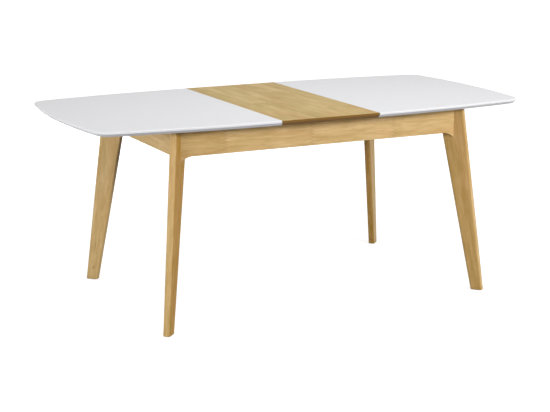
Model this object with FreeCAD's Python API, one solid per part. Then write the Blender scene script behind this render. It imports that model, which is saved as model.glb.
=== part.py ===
"""Extending dining table with a loose leaf, in its extended state.

The origin is on the floor under the middle of the top. +X runs along the table to the
right, +Y to the back, +Z up. All sizes are in millimetres.

The frame of legs and aprons stands still. The two halves of the top slide on wooden
runners, each half by itself, and the leaf lies loose between them.
"""
import FreeCAD, Part
from collections import namedtuple
import math
import os

Vector = FreeCAD.Vector
Screw = namedtuple("Screw", "seat direction grip bite recess")

# Top
table_height = 750.0
top_length = 1800.0
top_depth = 900.0
leaf_width = 400.0
slab_thickness = 18.0
side_bow_radius = 3900.0
end_bow_radius = 2300.0
top_corner_radius = 64.0
top_arris = 3.0
bottom_bevel = 10.0
bevel_rounding = 1.5
joint_chamfer = 0.8
joint_corner_radius = 5.0
side_overhang = 103.0
end_overhang = 109.0

# Leaf
leaf_edge_gap = 0.3
leaf_seat_gap = 0.3
leaf_top_arris = 2.0
leaf_bottom_bevel = 10.0
batten_length = 340.0
batten_width = 40.0
batten_thickness = 14.0
batten_inset = 110.0
batten_end_cut = 8.0
peg_radius = 4.0
peg_height = 8.0
peg_depth = 18.0
peg_offset = 130.0
peg_clearance = 0.4

# Frame
frame_shift = 20.0
frame_gap = 3.0
apron_height = 100.0
apron_thickness = 20.0
apron_arris = 2.0
bracket_run = 46.0
bracket_drop = 20.0

# Legs: flat blades on the diagonals, measured outwards from the corner of the apron faces
leg_thickness = 27.5
leg_reach = 118.5
foot_width = 47.5
outer_lean = 100.0
inner_lean = 156.0
leg_outer_rounding = 8.0
leg_inner_rounding = 8.0
foot_chamfer = 1.2
glide_radius = 9.5
glide_height = 2.0
glide_arris = 0.8
glide_pin_radius = 1.3
glide_pin_length = 14.0

# Corner braces and leg bolts
brace_height = 62.0
brace_thickness = 30.0
brace_arris = 3.0
leg_notch_depth = 4.0
leg_notch_clearance = 0.3
bolt_radius = 4.0
bolt_spacing = 30.0
bolt_bite = 45.0
bolt_tail = 4.0
bolt_chamfer = 1.0
washer_radius = 10.0
washer_thickness = 1.6
nut_width = 13.0
nut_height = 6.5

# Slides. The rails are set in from the aprons' outer faces, the leaf's battens from the rails
slide_clearance = 0.3
rail_inset = 132.0
rail_width = 32.0
rail_height = 47.0
groove_height = 12.0
groove_depth = 9.0
runner_width = 22.0
runner_height = 46.0
runner_end_cut = 14.0
runner_end_room = 16.0
runner_under_leaf = 380.0
release_travel = 35.0
stop_pin_radius = 2.5
stop_pin_offset = 60.0
stop_pin_hold = 8.0
stop_clearance = 0.3
cleat_length = 32.0
cleat_width = 46.0
cleat_height = 32.0
cleat_arris = 4.0
cleat_screw_spacing = 28.0
bearer_width = 70.0
bearer_height = 32.0
bearer_arris = 3.0
dowel_radius = 4.0
dowel_spacing = 36.0
dowel_apron_depth = 12.0
dowel_bearer_depth = 24.0

# Wood screws
screw_radius = 2.2
screw_head_radius = 4.6
screw_head_height = 3.0
screw_tip_length = 4.0
screw_bite = 14.0
slab_bite = 12.0
brace_screw_grip = 11.0
brace_screw_spacing = 36.0
runner_screw_grip = 18.0
head_clearance = 0.6
shank_clearance = 0.4
pilot_clearance = 0.1
overrun = 2.0

# Places along a piece, as shares of its length
runner_screw_shares = (0.1, 0.5, 0.9)
batten_screw_shares = (-0.4, 0.0, 0.4)
edge_match_share = 0.005

# The most of a slab's thickness that its upper arris may take
arris_limit_share = 0.33

# Levels and half sizes that follow from the driving sizes. The top hangs over the frame's
# ends when it is closed, and over its sides always
frame_length = top_length - leaf_width - 2 * end_overhang
frame_depth = top_depth - 2 * side_overhang
slab_bottom = table_height - slab_thickness
frame_top = slab_bottom - frame_gap
apron_bottom = frame_top - apron_height
runner_bottom = slab_bottom - runner_height
rail_top = slab_bottom - slide_clearance
rail_bottom = rail_top - rail_height
groove_middle = (slab_bottom + runner_bottom) / 2
leaf_half = leaf_width / 2
half_length = frame_length / 2
half_depth = frame_depth / 2
rail_offset = half_depth - rail_inset
batten_offset = rail_offset - batten_inset
inner_half_length = half_length - apron_thickness
inner_half_depth = half_depth - apron_thickness
runner_outer_end = inner_half_length - release_travel - runner_end_room
brace_middle = (frame_top + apron_bottom) / 2
edge_match = overrun * edge_match_share
root_two = math.sqrt(2)
nut_corners = 6

CORNERS = {
    "front_left": (-1, -1),
    "front_right": (1, -1),
    "back_left": (-1, 1),
    "back_right": (1, 1),
}
SIDES = {"left": -1, "right": 1}
ROWS = {"front": -1, "back": 1}


# Helpers
def block(x0, x1, y0, y1, z0, z1):
    """A box between two corners given in any order."""
    low = Vector(min(x0, x1), min(y0, y1), min(z0, z1))
    return Part.makeBox(abs(x1 - x0), abs(y1 - y0), abs(z1 - z0), low)


def rod(radius, start, end):
    """A cylinder from one point to another."""
    run = end - start
    return Part.makeCylinder(radius, run.Length, start, run)


def prism(points, direction):
    """A flat polygon pushed along a direction."""
    return Part.Face(Part.makePolygon(points + [points[0]])).extrude(direction)


def arc_edge(centre, radius, start_angle, end_angle):
    """A circular arc in plan at the centre's height, by its two angles in radians."""
    middle_angle = (start_angle + end_angle) / 2
    points = []
    for angle in (start_angle, middle_angle, end_angle):
        points.append(centre + Vector(radius * math.cos(angle), radius * math.sin(angle), 0))
    return Part.Arc(*points).toShape()


def moved(shape, x, y, z, turn=0):
    """A copy turned about Z by an angle in degrees, then shifted."""
    copy = shape.copy()
    copy.Placement = FreeCAD.Placement(Vector(x, y, z), FreeCAD.Rotation(Vector(0, 0, 1), turn))
    return copy


def at_corner(shape, corner):
    """Puts a shape made outwards along +X on one corner of the frame, on its diagonal."""
    side, row = corner
    turn = math.degrees(math.atan2(row, side))
    return moved(shape, frame_shift + side * half_length, row * half_depth, 0, turn)


def cut_each(shape, tools):
    """Cuts a shape with a list of tools."""
    if not tools:
        return shape
    return shape.cut(Part.Compound(tools))


def level_edges(shape, level):
    """The edges that lie at one height."""
    found = []
    for edge in shape.Edges:
        box = edge.BoundBox
        if abs(box.ZMin - level) < edge_match and abs(box.ZMax - level) < edge_match:
            found.append(edge)
    return found


# Wood screws: each has the seat under its head, its direction, its lengths in the two pieces
# that it joins, and the depth of the counterbore over its seat
def screw_solid(screw):
    """A flat round head, a plain shank and a point."""
    tip = screw.seat + screw.direction * (screw.grip + screw.bite)
    neck = tip - screw.direction * screw_tip_length
    head = rod(screw_head_radius, screw.seat - screw.direction * screw_head_height, screw.seat)
    shank = rod(screw_radius, screw.seat, neck)
    point = Part.makeCone(screw_radius, 0, screw_tip_length, neck, screw.direction)
    return head.fuse([shank, point]).removeSplitter()


def screw_passage(screw):
    """Counterbore and clearance hole in the piece under the head."""
    start = screw.seat - screw.direction * overrun
    end = screw.seat + screw.direction * (screw.grip + overrun)
    bore = rod(screw_radius + shank_clearance, start, end)
    mouth_start = screw.seat - screw.direction * screw.recess
    mouth = rod(screw_head_radius + head_clearance, mouth_start, screw.seat)
    return bore.fuse(mouth)


def screw_pilot(screw):
    """Pilot hole in the piece that holds the screw's end."""
    start = screw.seat + screw.direction * (screw.grip - overrun)
    end = screw.seat + screw.direction * (screw.grip + screw.bite + pilot_clearance)
    return rod(screw_radius + pilot_clearance, start, end)


def placed_screw(screw, corner):
    """A screw made on a corner's diagonal, moved to that corner of the frame."""
    side, row = corner
    turn = FreeCAD.Rotation(Vector(0, 0, 1), math.degrees(math.atan2(row, side)))
    place = Vector(frame_shift + side * half_length, row * half_depth, 0)
    return screw._replace(
        seat=turn.multVec(screw.seat) + place, direction=turn.multVec(screw.direction)
    )


# Halves of the top
def half_outline():
    """Outline of the right half at the slab's underside: bowed sides and end, round corners."""
    side_centre = Vector(leaf_half, top_depth / 2 - side_bow_radius, slab_bottom)
    end_centre = Vector(top_length / 2 - end_bow_radius, 0, slab_bottom)
    side_reach = side_bow_radius - top_corner_radius
    end_reach = end_bow_radius - top_corner_radius
    between = end_centre - side_centre
    apart = between.Length
    along = (side_reach ** 2 - end_reach ** 2 + apart ** 2) / (2 * apart)
    across = math.sqrt(side_reach ** 2 - along ** 2)
    unit = between / apart
    corner = side_centre + unit * along + Vector(unit.y, -unit.x, 0) * across
    side_angle = math.atan2(corner.y - side_centre.y, corner.x - side_centre.x)
    end_angle = math.atan2(corner.y - end_centre.y, corner.x - end_centre.x)
    quarter_turn = math.pi / 2
    low_side_centre = Vector(side_centre.x, -side_centre.y, slab_bottom)
    low_corner = Vector(corner.x, -corner.y, slab_bottom)
    edges = [
        arc_edge(side_centre, side_bow_radius, quarter_turn, side_angle),
        arc_edge(corner, top_corner_radius, side_angle, end_angle),
        arc_edge(end_centre, end_bow_radius, end_angle, -end_angle),
        arc_edge(low_corner, top_corner_radius, -end_angle, -side_angle),
        arc_edge(low_side_centre, side_bow_radius, -side_angle, -quarter_turn),
    ]
    joint_line = Part.makeLine(
        Vector(leaf_half, -top_depth / 2, slab_bottom),
        Vector(leaf_half, top_depth / 2, slab_bottom),
    )
    return Part.Wire(edges + [joint_line])


def joint_wedge(x, lean):
    """The sliver taken off a joint's upper arris. lean is the side that the wood is on."""
    half_run = top_depth / 2 + overrun
    points = [
        Vector(x - lean * overrun, -half_run, table_height + overrun),
        Vector(x + lean * (joint_chamfer + overrun), -half_run, table_height + overrun),
        Vector(x - lean * overrun, -half_run, table_height - joint_chamfer - overrun),
    ]
    return prism(points, Vector(0, 2 * half_run, 0))


def joint_corner(row):
    """The waste outside the small upright rounding where the joint meets a long side."""
    side = row * top_depth / 2
    reach = joint_corner_radius
    low = slab_bottom - overrun
    high = table_height + overrun
    waste = block(
        leaf_half - overrun, leaf_half + reach, side - row * reach, side + row * overrun, low, high
    )
    centre = Vector(leaf_half + reach, side - row * reach, low)
    return waste.cut(Part.makeCylinder(reach, high - low, centre))


def arris_size(thickness, wanted):
    """The upper arris that a slab is thick enough for."""
    return min(wanted, thickness * arris_limit_share)


def bevel_size(thickness, arris, wanted):
    """The bevel that a slab's edge has room for between its underside and its upper arris."""
    return min(wanted, thickness - arris - 2 * bevel_rounding)


def rim_edges(slab, level):
    """The edges round a half of the top at one height, apart from those at its joint."""
    rim = []
    for edge in level_edges(slab, level):
        if edge.BoundBox.XMax > leaf_half + overrun:
            rim.append(edge)
    return rim


def half_slab(side, screws):
    """One half of the top. The left half is the right half mirrored."""
    slab = Part.Face(half_outline()).extrude(Vector(0, 0, slab_thickness))
    arris = arris_size(slab_thickness, top_arris)
    bevel = bevel_size(slab_thickness, arris, bottom_bevel)
    slab = slab.makeFillet(arris, rim_edges(slab, table_height))
    slab = slab.makeChamfer(bevel, rim_edges(slab, slab_bottom))
    slab = slab.makeFillet(bevel_rounding, rim_edges(slab, slab_bottom + bevel))
    slab = cut_each(slab, [joint_wedge(leaf_half, 1), joint_corner(1), joint_corner(-1)])
    if side < 0:
        slab = slab.mirror(Vector(0, 0, 0), Vector(1, 0, 0))
    return cut_each(slab, [screw_pilot(screw) for screw in screws])


# Runners and their screws
def lane_y(row, lane, step):
    """A place beside a fixed rail, step away from the rail's side face."""
    return row * (rail_offset + lane * (rail_width / 2 + step))


def lane_of(side):
    """The left half runs on the outer sides of the rails, the right half on the inner sides."""
    return -side


def runner_screws(side, row):
    """Screws that hold a runner to its half of the top, driven up from below."""
    y = lane_y(row, lane_of(side), slide_clearance + runner_width / 2)
    screwed = runner_outer_end - leaf_half
    seat_level = slab_bottom - runner_screw_grip
    screws = []
    for share in runner_screw_shares:
        seat = Vector(side * (leaf_half + share * screwed), y, seat_level)
        screws.append(Screw(seat, Vector(0, 0, 1), runner_screw_grip, slab_bite, runner_height))
    return screws


def tongue(side, row, from_middle, to_middle):
    """A stretch of tongue, between two distances from the top's middle."""
    lane = lane_of(side)
    reach = groove_depth - slide_clearance
    half_height = groove_height / 2 - slide_clearance
    return block(
        side * from_middle, side * to_middle,
        lane_y(row, lane, -reach), lane_y(row, lane, slide_clearance + runner_width / 2),
        groove_middle - half_height, groove_middle + half_height,
    )


def runner(side, row):
    """A bar with a tongue, cut away over the travel so that the stop pin limits it."""
    lane = lane_of(side)
    near = lane_y(row, lane, slide_clearance)
    far = lane_y(row, lane, slide_clearance + runner_width)
    outer = side * runner_outer_end
    inner = side * (leaf_half - runner_under_leaf)
    profile = [
        Vector(outer, near, slab_bottom),
        Vector(outer, near, runner_bottom + runner_end_cut),
        Vector(outer - side * runner_end_cut, near, runner_bottom),
        Vector(inner + side * runner_end_cut, near, runner_bottom),
        Vector(inner, near, runner_bottom + runner_end_cut),
        Vector(inner, near, slab_bottom),
    ]
    bar = prism(profile, Vector(0, far - near, 0))
    open_end = stop_pin_offset - stop_pin_radius - release_travel - stop_clearance
    closed_end = stop_pin_offset + stop_pin_radius + leaf_half + stop_clearance
    inner_tongue = tongue(side, row, leaf_half - runner_under_leaf, open_end)
    outer_tongue = tongue(side, row, closed_end, runner_outer_end)
    bar = bar.fuse([inner_tongue, outer_tongue]).removeSplitter()
    return cut_each(bar, [screw_passage(screw) for screw in runner_screws(side, row)])


# Fixed rails, their cleats, the bearer under them, pegs and stop pins
def rail_screws():
    """Screws of the cleats and the bearer: (screw, where it starts, where it bites)."""
    found = []
    up = Vector(0, 0, 1)
    head_recess = screw_head_height + head_clearance
    for row_name, row in ROWS.items():
        y = row * rail_offset
        for side_name, side in SIDES.items():
            cleat = row_name + "_" + side_name
            x = frame_shift + side * (inner_half_length - cleat_length / 2)
            seat = Vector(x, y, rail_bottom - cleat_height + head_recess)
            grip = cleat_height - head_recess
            screw = Screw(seat, up, grip, screw_bite, head_recess)
            found.append((screw, cleat, "rail_" + row_name))
            outwards = Vector(side, 0, 0)
            x = frame_shift + side * (inner_half_length - cleat_length + head_recess)
            for step in (-cleat_screw_spacing / 2, cleat_screw_spacing / 2):
                seat = Vector(x, y + step, rail_bottom - cleat_height / 2)
                grip = cleat_length - head_recess
                screw = Screw(seat, outwards, grip, screw_bite, head_recess)
                found.append((screw, cleat, "apron_" + side_name))
        seat = Vector(frame_shift, y, rail_bottom - bearer_height + head_recess)
        screw = Screw(seat, up, bearer_height - head_recess, screw_bite, head_recess)
        found.append((screw, "bearer", "rail_" + row_name))
    return found


def passages_in(name):
    """Holes for the screws that start in a piece."""
    return [screw_passage(screw) for screw, start, end in rail_screws() if start == name]


def pilots_in(name):
    """Holes for the ends of the screws that bite in a piece."""
    return [screw_pilot(screw) for screw, start, end in rail_screws() if end == name]


def peg_places(row):
    """Where the leaf's pegs stand on a rail's upper face."""
    return [Vector(step, row * rail_offset, rail_top) for step in (-peg_offset, peg_offset)]


def stop_pin_ends(side, row):
    """A pin stands upright in the groove that the side's runner uses."""
    x = frame_shift + side * stop_pin_offset
    y = lane_y(row, lane_of(side), -groove_depth / 2)
    top = groove_middle + groove_height / 2 + stop_pin_hold
    return Vector(x, y, rail_bottom), Vector(x, y, top)


def fixed_rail(row_name):
    """A bar across the frame with a groove along each side, one for each half's runner."""
    row = ROWS[row_name]
    left = frame_shift - inner_half_length
    right = frame_shift + inner_half_length
    half_width = rail_width / 2
    y = row * rail_offset
    rail = block(left, right, y - half_width, y + half_width, rail_bottom, rail_top)
    tools = pilots_in("rail_" + row_name)
    for lane in (-1, 1):
        tools.append(block(
            left - overrun, right + overrun,
            lane_y(row, lane, -groove_depth), lane_y(row, lane, overrun),
            groove_middle - groove_height / 2, groove_middle + groove_height / 2,
        ))
    for place in peg_places(row):
        start = place - Vector(0, 0, peg_depth)
        tools.append(rod(peg_radius, start, place + Vector(0, 0, overrun)))
    for side in SIDES.values():
        start, end = stop_pin_ends(side, row)
        tools.append(rod(stop_pin_radius, start - Vector(0, 0, overrun), end))
    return cut_each(rail, tools)


def rail_cleat(row_name, side_name):
    """A block under the rail's end, against the short apron."""
    side = SIDES[side_name]
    y = ROWS[row_name] * rail_offset
    outer = frame_shift + side * inner_half_length
    inner = outer - side * cleat_length
    low = rail_bottom - cleat_height
    cleat = block(outer, inner, y - cleat_width / 2, y + cleat_width / 2, low, rail_bottom)
    lower_edge = []
    for edge in level_edges(cleat, low):
        box = edge.BoundBox
        if abs(box.XMax - inner) < edge_match and abs(box.XMin - inner) < edge_match:
            lower_edge.append(edge)
    cleat = cleat.makeChamfer(cleat_arris, lower_edge)
    return cut_each(cleat, passages_in(row_name + "_" + side_name))


def dowel_places():
    """Starts in the bearer and ends in the long aprons."""
    level = rail_bottom - bearer_height / 2
    places = []
    for row in ROWS.values():
        for step in (-dowel_spacing / 2, dowel_spacing / 2):
            start = Vector(frame_shift + step, row * (inner_half_depth - dowel_bearer_depth), level)
            end = Vector(frame_shift + step, row * (inner_half_depth + dowel_apron_depth), level)
            places.append((start, end))
    return places


def centre_bearer():
    """The cross piece that carries the fixed rails in their middle."""
    half_width = bearer_width / 2
    low = rail_bottom - bearer_height
    bearer = block(
        frame_shift - half_width, frame_shift + half_width,
        -inner_half_depth, inner_half_depth, low, rail_bottom,
    )
    lower_edges = []
    for edge in level_edges(bearer, low):
        if edge.BoundBox.XLength < edge_match:
            lower_edges.append(edge)
    bearer = bearer.makeChamfer(bearer_arris, lower_edges)
    return cut_each(bearer, passages_in("bearer") + dowel_holes())


def dowel_holes():
    """Rods at the dowels' places, for the dowels and for their holes."""
    return [rod(dowel_radius, start, end) for start, end in dowel_places()]


# Leaf
def batten_screws(row):
    """Screws that hold a batten to the leaf."""
    up = Vector(0, 0, 1)
    recess = screw_head_height + head_clearance
    underside = slab_bottom + leaf_seat_gap
    grip = batten_thickness - recess
    screws = []
    for share in batten_screw_shares:
        seat = Vector(share * batten_length, row * batten_offset, underside - grip)
        screws.append(Screw(seat, up, grip, slab_bite, recess))
    return screws


def end_edges(panel, level):
    """The leaf's edges along its front and back ends at one height."""
    return [edge for edge in level_edges(panel, level) if edge.BoundBox.XLength > leaf_half]


def leaf_panel():
    """A solid wood board, crisp along its joints and softened at its front and back ends."""
    half = leaf_half - leaf_edge_gap
    underside = slab_bottom + leaf_seat_gap
    panel = block(-half, half, -top_depth / 2, top_depth / 2, underside, table_height)
    thickness = table_height - underside
    arris = arris_size(thickness, leaf_top_arris)
    bevel = bevel_size(thickness, arris, leaf_bottom_bevel)
    panel = panel.makeFillet(arris, end_edges(panel, table_height))
    panel = panel.makeChamfer(bevel, end_edges(panel, underside))
    panel = panel.makeFillet(bevel_rounding, end_edges(panel, underside + bevel))
    tools = [joint_wedge(-half, 1), joint_wedge(half, -1)]
    for row in ROWS.values():
        for place in peg_places(row):
            top = place + Vector(0, 0, peg_height + peg_clearance)
            tools.append(rod(peg_radius + peg_clearance, place - Vector(0, 0, overrun), top))
        tools.extend(screw_pilot(screw) for screw in batten_screws(row))
    return cut_each(panel, tools)


def leaf_batten(row):
    """A flat bar under the leaf, across its grain, with its ends sloped off below."""
    top = slab_bottom + leaf_seat_gap
    low = top - batten_thickness
    half = batten_length / 2
    front = row * batten_offset - batten_width / 2
    profile = [
        Vector(-half, front, top),
        Vector(-half, front, low + batten_end_cut),
        Vector(-half + batten_end_cut, front, low),
        Vector(half - batten_end_cut, front, low),
        Vector(half, front, low + batten_end_cut),
        Vector(half, front, top),
    ]
    bar = prism(profile, Vector(0, batten_width, 0))
    return cut_each(bar, [screw_passage(screw) for screw in batten_screws(row)])


# Legs, in the diagonal plane: X outwards from the corner of the apron faces
def leg_outer(level):
    """Distance of the leg's outer edge at a height."""
    return leg_reach - outer_lean * level / table_height


def leg_inner(level):
    """Distance of the leg's inner edge at a height."""
    return leg_reach - foot_width - inner_lean * level / table_height


def bolt_levels():
    """Heights of a leg's two bolts, above and below the brace's middle."""
    return (brace_middle - bolt_spacing / 2, brace_middle + bolt_spacing / 2)


def foot_middle():
    """The point on the floor under the middle of the foot."""
    return Vector((leg_outer(0) + leg_inner(0)) / 2, 0, 0)


def leg_blade():
    """A tapered blade with rounded long edges, wider at the top, leaning inwards."""
    half = leg_thickness / 2
    profile = [
        Vector(leg_outer(glide_height), -half, glide_height),
        Vector(leg_outer(frame_top), -half, frame_top),
        Vector(leg_inner(frame_top), -half, frame_top),
        Vector(leg_inner(glide_height), -half, glide_height),
    ]
    blade = prism(profile, Vector(0, leg_thickness, 0))
    for line, radius in ((leg_outer, leg_outer_rounding), (leg_inner, leg_inner_rounding)):
        long_edges = []
        for edge in blade.Edges:
            middle = edge.CenterOfMass
            if edge.Length > apron_height * 2 and abs(middle.x - line(middle.z)) < overrun:
                long_edges.append(edge)
        blade = blade.makeFillet(min(radius, half - foot_chamfer / 2), long_edges)
    blade = blade.makeChamfer(foot_chamfer, level_edges(blade, glide_height))
    tools = []
    for level in bolt_levels():
        tools.append(rod(
            bolt_radius + pilot_clearance,
            Vector(leg_inner(level) - overrun * 2, 0, level),
            Vector(leg_inner(level) + bolt_bite + pilot_clearance, 0, level),
        ))
    pin_base = foot_middle()
    pin_top = pin_base + Vector(0, 0, glide_height + glide_pin_length + pilot_clearance)
    tools.append(rod(glide_pin_radius + pilot_clearance, pin_base, pin_top))
    return cut_each(blade, tools)


def foot_glide():
    """A nail-on disc with a bevelled lower rim."""
    base = foot_middle()
    disc = Part.makeCylinder(glide_radius, glide_height, base)
    disc = disc.makeChamfer(glide_arris, level_edges(disc, 0))
    nail_top = base + Vector(0, 0, glide_height + glide_pin_length)
    nail = rod(glide_pin_radius, base + Vector(0, 0, glide_height / 2), nail_top)
    return disc.fuse(nail).removeSplitter()


# Corner braces, with the legs' bolts
def brace_outer():
    """The brace's face towards the leg, which lies in the brace's notch."""
    return leg_inner(brace_middle - brace_height / 2) + leg_notch_depth


def brace_inner():
    """The brace's face towards the room under the table, where the washers lie."""
    return brace_outer() - brace_thickness


def brace_half_span(outwards):
    """Half the distance between the aprons' inner faces, across the diagonal."""
    return -apron_thickness * root_two - outwards


def from_faces(x, y, level):
    """A point given by its distances from the two apron faces, on the corner's diagonal axes."""
    return Vector((x + y) / root_two, (y - x) / root_two, level)


def brace_screws():
    """Two screws square to each apron face, their heads deep in the brace."""
    middle = (brace_outer() + brace_inner()) / 2
    station = root_two * middle + apron_thickness
    seat_depth = -apron_thickness - brace_screw_grip
    reach = brace_thickness * root_two
    screws = []
    for level in (brace_middle - brace_screw_spacing / 2, brace_middle + brace_screw_spacing / 2):
        seat = from_faces(station, seat_depth, level)
        towards = from_faces(station, 0, level) - seat
        towards.normalize()
        screws.append(Screw(seat, towards, brace_screw_grip, screw_bite, reach))
        seat = Vector(seat.x, -seat.y, seat.z)
        towards = Vector(towards.x, -towards.y, towards.z)
        screws.append(Screw(seat, towards, brace_screw_grip, screw_bite, reach))
    return screws


def corner_brace():
    """A block across the corner, notched for the leg's sloping inner edge."""
    outer = brace_outer()
    inner = brace_inner()
    low = brace_middle - brace_height / 2
    high = brace_middle + brace_height / 2
    plan = [
        Vector(outer, -brace_half_span(outer), low),
        Vector(outer, brace_half_span(outer), low),
        Vector(inner, brace_half_span(inner), low),
        Vector(inner, -brace_half_span(inner), low),
    ]
    brace = prism(plan, Vector(0, 0, brace_height))
    rear_edges = []
    for edge in brace.Edges:
        middle = edge.CenterOfMass
        if abs(middle.x - inner) < edge_match and edge.BoundBox.ZLength < edge_match:
            rear_edges.append(edge)
    brace = brace.makeChamfer(brace_arris, rear_edges)
    half_notch = leg_thickness / 2 + leg_notch_clearance
    notch = prism([
        Vector(leg_inner(low - overrun), -half_notch, low - overrun),
        Vector(leg_inner(high + overrun), -half_notch, high + overrun),
        Vector(outer + overrun, -half_notch, high + overrun),
        Vector(outer + overrun, -half_notch, low - overrun),
    ], Vector(0, 2 * half_notch, 0))
    tools = [notch]
    for level in bolt_levels():
        start = Vector(inner - overrun, 0, level)
        tools.append(rod(bolt_radius + shank_clearance, start, Vector(outer + overrun, 0, level)))
    tools.extend(screw_passage(screw) for screw in brace_screws())
    return cut_each(brace, tools)


def leg_bolt(level):
    """A hanger bolt, screwed into the leg and held by a nut behind the brace."""
    end = brace_inner() - washer_thickness - nut_height - bolt_tail
    bolt = rod(bolt_radius, Vector(end, 0, level), Vector(leg_inner(level) + bolt_bite, 0, level))
    rims = [edge for edge in bolt.Edges if len(edge.Vertexes) == 1]
    return bolt.makeChamfer(bolt_chamfer, rims)


def leg_washer(level):
    """A wide flat washer on the brace's inner face."""
    face = Vector(brace_inner(), 0, level)
    back = face - Vector(washer_thickness, 0, 0)
    past = Vector(overrun, 0, 0)
    disc = rod(washer_radius, back, face)
    return disc.cut(rod(bolt_radius + shank_clearance, back - past, face + past))


def leg_nut(level):
    """A hexagon nut, its width measured across the flats."""
    face = brace_inner() - washer_thickness
    half_corner = math.pi / nut_corners
    corner_radius = nut_width / 2 / math.cos(half_corner)
    hexagon = []
    for step in range(nut_corners):
        angle = 2 * half_corner * step
        y = corner_radius * math.cos(angle)
        z = level + corner_radius * math.sin(angle)
        hexagon.append(Vector(face, y, z))
    nut = prism(hexagon, Vector(-nut_height, 0, 0))
    start = Vector(face + overrun, 0, level)
    end = Vector(face - nut_height - overrun, 0, level)
    return nut.cut(rod(bolt_radius + pilot_clearance, start, end))


# Aprons, made with the outer face on Y = 0 and then turned to their side
def apron_profile(half_span):
    """Straight lower edge that curves down into a bracket beside each leg."""
    end = half_span - leg_thickness / root_two
    straight = end - bracket_run
    bend_radius = (bracket_run ** 2 + bracket_drop ** 2) / (2 * bracket_drop)
    bend_end = math.asin(bracket_run / bend_radius)
    half_bend = bend_end / 2
    bend_middle_x = bend_radius * math.sin(half_bend)
    bend_middle_z = bend_radius * (1 - math.cos(half_bend))
    tip = apron_bottom - bracket_drop
    edges = []
    for side in (-1, 1):
        edges.append(Part.Arc(
            Vector(side * straight, 0, apron_bottom),
            Vector(side * (straight + bend_middle_x), 0, apron_bottom - bend_middle_z),
            Vector(side * end, 0, tip),
        ).toShape())
        edges.append(Part.makeLine(Vector(side * end, 0, tip), Vector(side * end, 0, frame_top)))
    edges.append(Part.makeLine(Vector(-straight, 0, apron_bottom), Vector(straight, 0, apron_bottom)))
    edges.append(Part.makeLine(Vector(-end, 0, frame_top), Vector(end, 0, frame_top)))
    return Part.Wire(Part.__sortEdges__(edges))


def plain_apron(half_span):
    """A board with brackets, its ends cut to lie on the legs' broad faces."""
    end = half_span - leg_thickness / root_two
    board = Part.Face(apron_profile(half_span)).extrude(Vector(0, -apron_thickness, 0))
    low = apron_bottom - bracket_drop - overrun
    behind = -apron_thickness - overrun
    for side in (-1, 1):
        wedge = prism([
            Vector(side * end, 0, low),
            Vector(side * (end + behind), behind, low),
            Vector(side * (end + overrun), behind, low),
            Vector(side * (end + overrun), 0, low),
        ], Vector(0, 0, frame_top + overrun - low))
        board = board.cut(wedge)
    lower = []
    for edge in board.Edges:
        box = edge.BoundBox
        if box.YMin > -edge_match and box.ZMax < apron_bottom + edge_match:
            lower.append(edge)
    return board.makeFillet(apron_arris, lower)


def apron(name, tools):
    """One apron in its place on the frame, with the holes of the pieces that it holds."""
    turns = {
        "front": (180, half_length, 0, -half_depth),
        "back": (0, half_length, 0, half_depth),
        "left": (90, half_depth, -half_length, 0),
        "right": (-90, half_depth, half_length, 0),
    }
    turn, half_span, x, y = turns[name]
    board = moved(plain_apron(half_span), frame_shift + x, y, 0, turn)
    return cut_each(board, tools)


# All nodes
def group(shapes):
    """Like pieces that share a node, each still a solid of its own."""
    return Part.Compound(shapes)


def build():
    """Every node's shape by its name."""
    nodes = {}
    for side_name, side in SIDES.items():
        screws = []
        for row_name, row in ROWS.items():
            screws.extend(runner_screws(side, row))
            nodes["runner_" + side_name + "_" + row_name] = runner(side, row)
        nodes["top_" + side_name] = half_slab(side, screws)
        nodes["runner_screws_" + side_name] = group([screw_solid(screw) for screw in screws])

    nodes["leaf_panel"] = leaf_panel()
    leaf_screws = []
    for row_name, row in ROWS.items():
        nodes["leaf_batten_" + row_name] = leaf_batten(row)
        leaf_screws.extend(screw_solid(screw) for screw in batten_screws(row))
    nodes["leaf_batten_screws"] = group(leaf_screws)

    blade = leg_blade()
    glide = foot_glide()
    brace = corner_brace()
    bolts = []
    washers = []
    nuts = []
    corner_screws = []
    for name, corner in CORNERS.items():
        nodes["leg_" + name] = at_corner(blade, corner)
        nodes["glide_" + name] = at_corner(glide, corner)
        nodes["corner_brace_" + name] = at_corner(brace, corner)
        corner_screws.extend(placed_screw(screw, corner) for screw in brace_screws())
        for level in bolt_levels():
            bolts.append(at_corner(leg_bolt(level), corner))
            washers.append(at_corner(leg_washer(level), corner))
            nuts.append(at_corner(leg_nut(level), corner))
    nodes["leg_bolts"] = group(bolts)
    nodes["leg_washers"] = group(washers)
    nodes["leg_nuts"] = group(nuts)
    nodes["brace_screws"] = group([screw_solid(screw) for screw in corner_screws])

    corner_pilots = [screw_pilot(screw) for screw in corner_screws]
    for row_name in ROWS:
        nodes["apron_" + row_name] = apron(row_name, corner_pilots + dowel_holes())
        nodes["slide_rail_" + row_name] = fixed_rail(row_name)
        for side_name in SIDES:
            nodes["rail_cleat_" + row_name + "_" + side_name] = rail_cleat(row_name, side_name)
    for side_name in SIDES:
        nodes["apron_" + side_name] = apron(side_name, corner_pilots + pilots_in("apron_" + side_name))
    nodes["centre_bearer"] = centre_bearer()
    nodes["bearer_dowels"] = group(dowel_holes())
    nodes["rail_screws"] = group([screw_solid(screw) for screw, start, end in rail_screws()])

    pins = []
    pegs = []
    for row in ROWS.values():
        for side in SIDES.values():
            pins.append(rod(stop_pin_radius, *stop_pin_ends(side, row)))
        for place in peg_places(row):
            start = place - Vector(0, 0, peg_depth)
            pegs.append(rod(peg_radius, start, place + Vector(0, 0, peg_height)))
    nodes["stop_pins"] = group(pins)
    nodes["leaf_pegs"] = group(pegs)
    return nodes


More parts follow.
